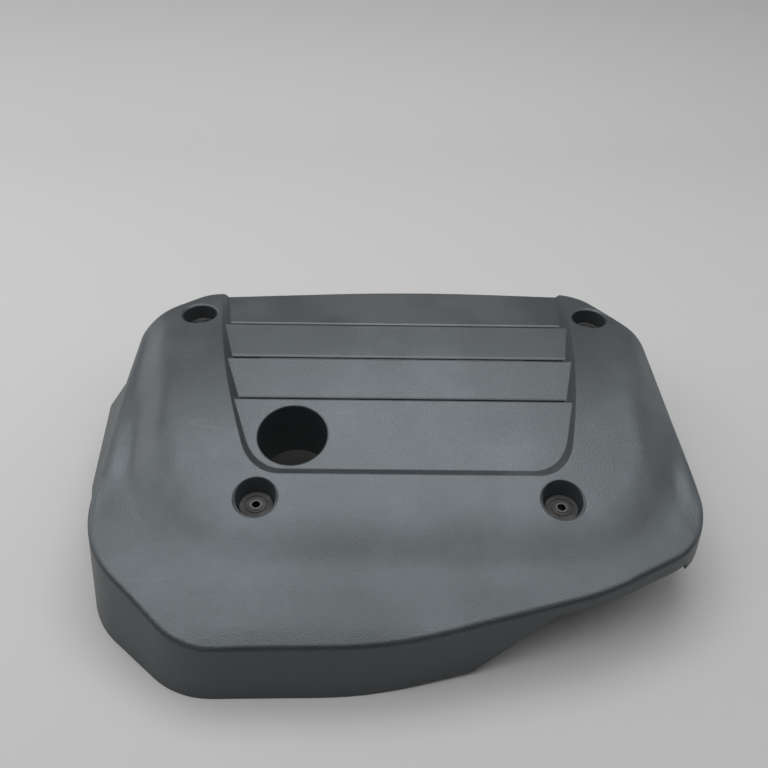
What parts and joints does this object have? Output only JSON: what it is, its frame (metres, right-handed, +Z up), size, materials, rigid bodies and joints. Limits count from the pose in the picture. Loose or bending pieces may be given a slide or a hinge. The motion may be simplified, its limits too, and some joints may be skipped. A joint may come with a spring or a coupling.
{
  "type": "engine cover",
  "caption": "Moulded engine cover with a crowned top, a stepped louvre panel, an open filler hole, a drafted skirt and recessed fixing wells with rubber bushes.",
  "frame": {"origin": "middle of the skirt's foot, under the middle of the whole cover", "axes": "+X to the cover's right along its longest side, +Y to its rear, +Z up out of the top"},
  "size_m": [0.5333, 0.401, 0.116],
  "materials": {
    "moulded_plastic": "fine grain",
    "bush_rubber": "matt",
    "sleeve_steel": "zinc plated"
  },
  "bodies": {
    "root": {"cover_moulding": "moulded_plastic", "rubber_bush_front_left": "bush_rubber", "rubber_bush_front_right": "bush_rubber", "rubber_bush_rear_left": "bush_rubber", "rubber_bush_rear_right": "bush_rubber", "spacer_sleeve_front_left": "sleeve_steel", "spacer_sleeve_front_right": "sleeve_steel", "spacer_sleeve_rear_left": "sleeve_steel", "spacer_sleeve_rear_right": "sleeve_steel"}
  },
  "joints": []
}
